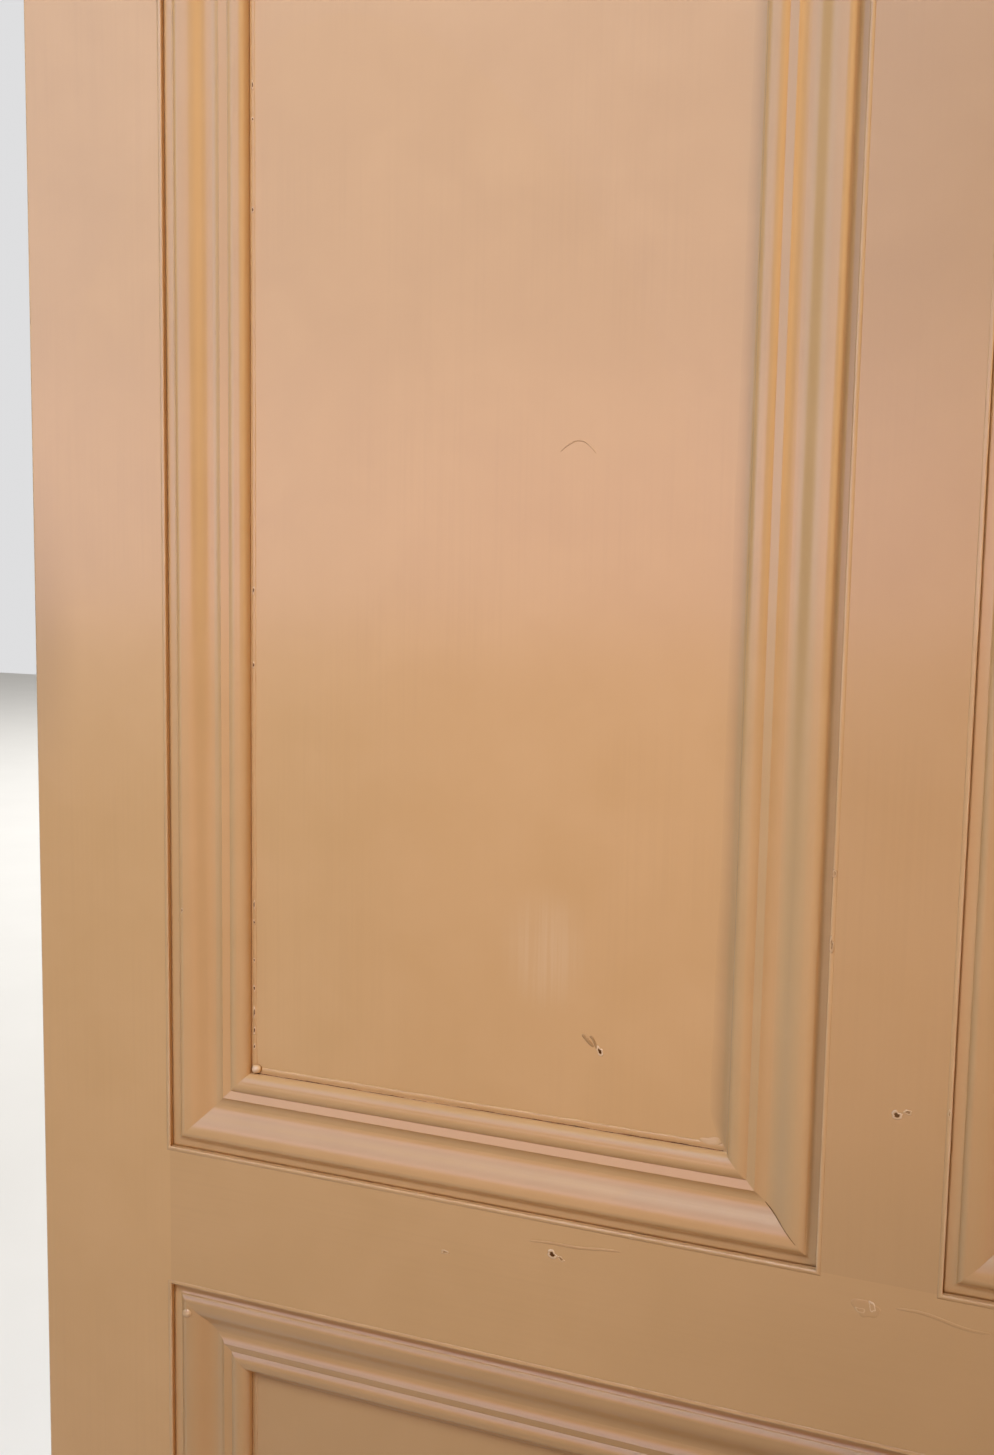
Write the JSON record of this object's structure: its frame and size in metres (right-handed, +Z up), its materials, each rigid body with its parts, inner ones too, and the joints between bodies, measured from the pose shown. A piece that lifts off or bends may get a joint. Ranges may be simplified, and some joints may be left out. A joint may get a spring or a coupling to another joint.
{
  "type": "panelled front door",
  "caption": "Front door leaf with two tall panels over a wide one and two lower ones, moulded on its face, hinged in a rebated timber frame with a sill.",
  "frame": {"origin": "foot of the hinge line, on the underside of the sill", "axes": "+Z up along the hinge line. The leaf stands open at a right angle to its frame: it runs from the hinge line towards -X, with its moulded outer face towards -Y. The frame runs from the hinge line towards +Y, with its outer face towards -X. The leaf shuts by turning -90 degrees about +Z."},
  "size_m": [1.1187, 1.1191, 2.237],
  "materials": {
    "painted_timber": "satin oil paint, warm tan",
    "brass": "worn satin brass",
    "steel": "plain steel"
  },
  "bodies": {
    "frame": {"hinge_jamb": "painted_timber", "strike_jamb": "painted_timber", "frame_head": "painted_timber", "sill": "painted_timber", "top_hinge_frame_plate": "steel", "middle_hinge_frame_plate": "steel", "bottom_hinge_frame_plate": "steel", "hinge_pins": "steel", "frame_screws": "steel", "strike_plate": "brass"},
    "leaf": {"hinge_stile": "painted_timber", "lock_stile": "painted_timber", "top_rail": "painted_timber", "upper_middle_rail": "painted_timber", "lower_middle_rail": "painted_timber", "bottom_rail": "painted_timber", "upper_muntin": "painted_timber", "lower_muntin": "painted_timber", "upper_left_panel": "painted_timber", "upper_right_panel": "painted_timber", "middle_panel": "painted_timber", "lower_left_panel": "painted_timber", "lower_right_panel": "painted_timber", "upper_left_left_moulding": "painted_timber", "upper_left_top_moulding": "painted_timber", "upper_left_right_moulding": "painted_timber", "upper_left_bottom_moulding": "painted_timber", "upper_right_left_moulding": "painted_timber", "upper_right_top_moulding": "painted_timber", "upper_right_right_moulding": "painted_timber", "upper_right_bottom_moulding": "painted_timber", "middle_left_moulding": "painted_timber", "middle_top_moulding": "painted_timber", "middle_right_moulding": "painted_timber", "middle_bottom_moulding": "painted_timber", "lower_left_left_moulding": "painted_timber", "lower_left_top_moulding": "painted_timber", "lower_left_right_moulding": "painted_timber", "lower_left_bottom_moulding": "painted_timber", "lower_right_left_moulding": "painted_timber", "lower_right_top_moulding": "painted_timber", "lower_right_right_moulding": "painted_timber", "lower_right_bottom_moulding": "painted_timber", "tenon_wedges": "painted_timber", "top_hinge_leaf_plate": "steel", "middle_hinge_leaf_plate": "steel", "bottom_hinge_leaf_plate": "steel", "leaf_screws": "steel", "lock_case": "steel", "lock_faceplate": "brass", "lock_cylinder": "brass", "cylinder_plug": "brass", "turn_rose": "brass", "knob_rose": "brass", "pull_knob": "brass", "knob_nut": "steel"},
    "turn": {"turn_spindle": "steel", "thumb_turn": "brass"},
    "bolt": {"deadbolt": "brass"}
  },
  "joints": [
    {"name": "leaf_hinge", "type": "hinge", "parent": "frame", "child": "leaf", "pos_m": [0, 0, 1.122], "axis": [0, 0, 1], "range_deg": [-90, 80]},
    {"name": "turn_pivot", "type": "hinge", "parent": "leaf", "child": "turn", "pos_m": [-0.96925, 0.029, 0.937], "axis": [0, 1, 0], "range_deg": [0, 90]},
    {"name": "bolt_slide", "type": "slide", "parent": "leaf", "child": "bolt", "axis": [-1, 0, 0], "range_m": [0, 0.016]}
  ],
  "couplings": [
    {"joint": "turn_pivot", "follows": "bolt_slide", "rad_per_m": 98.17}
  ]
}
